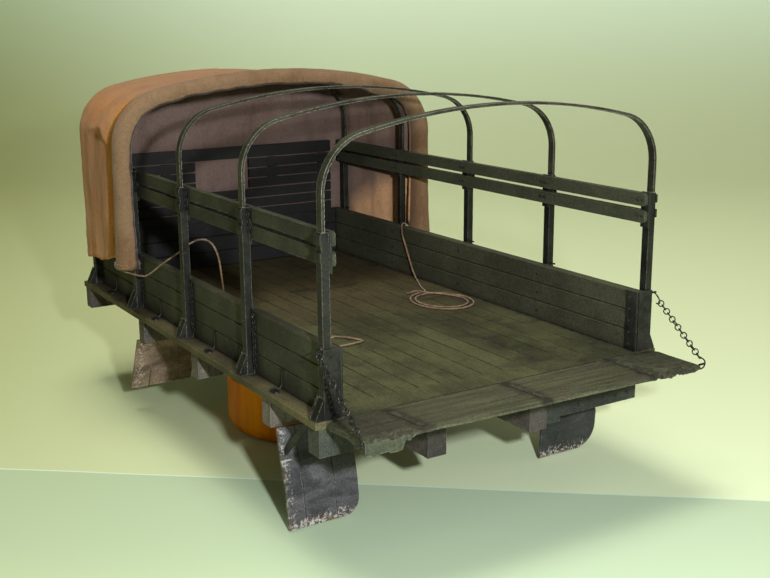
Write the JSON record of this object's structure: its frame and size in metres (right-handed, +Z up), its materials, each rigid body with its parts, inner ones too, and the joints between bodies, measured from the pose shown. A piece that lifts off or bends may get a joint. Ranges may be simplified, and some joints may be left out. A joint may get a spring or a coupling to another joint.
{
  "type": "scale model cargo truck body on a stand",
  "caption": "Model of a wooden drop-tailgate cargo truck body with stake sides, bows and a rolled canvas cover, on a round plinth; the tailgate swings on its hinges with its chains.",
  "frame": {"origin": "on the table under the middle of the model, at the bottom centre of its bounding box without the ropes", "axes": "+Z up, +Y towards the canvas end (the cab end of the body), +X to the right seen from the tailgate"},
  "size_m": [0.1026, 0.165, 0.0969],
  "materials": {
    "painted_board": "dark olive paint, worn and dusty",
    "floor_wood": "olive stained planks with dark seams",
    "underframe_wood": "dark stained, worn corners",
    "painted_fitting": "dark grey green paint, worn edges",
    "bow_paint": "dull olive paint, bright worn edges",
    "chain_steel": "dark oxidised",
    "flap_board": "dark grey paint, chipped lower edge",
    "flap_board_bare": "worn pinkish brown",
    "canvas": "tan orange cloth, matt",
    "rope": "tan brown twisted thread",
    "amber_plastic": "smooth amber"
  },
  "bodies": {
    "bed": {"bow_1": "bow_paint", "bow_2": "bow_paint", "bow_3": "bow_paint", "bow_4": "bow_paint", "bow_5": "bow_paint", "canvas_cover": "canvas", "canvas_roll": "canvas", "cross_sill_1": "underframe_wood", "cross_sill_2": "underframe_wood", "cross_sill_3": "underframe_wood", "flap_brace_left": "painted_fitting", "flap_brace_right": "painted_fitting", "flap_front_left": "flap_board_bare", "flap_front_right": "flap_board_bare", "flap_rear_left": "flap_board", "flap_rear_right": "flap_board", "floor_deck": "floor_wood", "front_boards": "painted_board", "front_curtain": "canvas", "front_rail": "painted_board", "front_sill": "underframe_wood", "front_slats_left": "painted_board", "front_slats_right": "painted_board", "front_slats_wide": "painted_board", "hinge_leaves": "painted_fitting", "hinge_pins": "chain_steel", "ledge_left": "painted_board", "ledge_right": "painted_board", "main_sill_left": "underframe_wood", "main_sill_right": "underframe_wood", "plinth": "amber_plastic", "post_eyes": "chain_steel", "post_feet_left": "painted_fitting", "post_feet_right": "painted_fitting", "posts_left": "painted_board", "posts_right": "painted_board", "rack_boards_left": "painted_board", "rack_boards_right": "painted_board", "rear_bar": "underframe_wood", "rear_plate_left": "painted_fitting", "rear_plate_right": "painted_fitting", "rear_sill": "underframe_wood", "rope_coil_left": "rope", "rope_coil_right": "rope", "rope_left": "rope", "rope_right": "rope", "side_boards_left": "painted_board", "side_boards_right": "painted_board"},
    "tailgate": {"tailgate_board": "painted_board", "tailgate_straps": "painted_fitting", "gate_eyes": "chain_steel"},
    "chain_upper_left": {"chain_upper_left": "chain_steel"},
    "chain_lower_left": {"chain_lower_left": "chain_steel"},
    "chain_upper_right": {"chain_upper_right": "chain_steel"},
    "chain_lower_right": {"chain_lower_right": "chain_steel"}
  },
  "joints": [
    {"name": "tailgate_hinge", "type": "hinge", "parent": "bed", "child": "tailgate", "pos_m": [0, -0.0675, 0.03], "axis": [-1, 0, 0], "range_deg": [0, 86]},
    {"name": "chain_upper_left_swing", "type": "hinge", "parent": "bed", "child": "chain_upper_left", "pos_m": [-0.0465, -0.0655, 0.045], "axis": [1, 0, 0], "range_deg": [0, 49.48]},
    {"name": "chain_lower_left_swing", "type": "hinge", "parent": "tailgate", "child": "chain_lower_left", "pos_m": [-0.0465, -0.08155, 0.03118], "axis": [-1, 0, 0], "range_deg": [0, 44.92]},
    {"name": "chain_upper_right_swing", "type": "hinge", "parent": "bed", "child": "chain_upper_right", "pos_m": [0.0465, -0.0655, 0.045], "axis": [1, 0, 0], "range_deg": [0, 49.48]},
    {"name": "chain_lower_right_swing", "type": "hinge", "parent": "tailgate", "child": "chain_lower_right", "pos_m": [0.0465, -0.08155, 0.03118], "axis": [-1, 0, 0], "range_deg": [0, 44.92]}
  ],
  "couplings": [
    {"joint": "chain_upper_left_swing", "follows": "tailgate_hinge", "ratio": 0.57301},
    {"joint": "chain_lower_left_swing", "follows": "tailgate_hinge", "ratio": 0.52001},
    {"joint": "chain_upper_right_swing", "follows": "tailgate_hinge", "ratio": 0.57301},
    {"joint": "chain_lower_right_swing", "follows": "tailgate_hinge", "ratio": 0.52001}
  ]
}
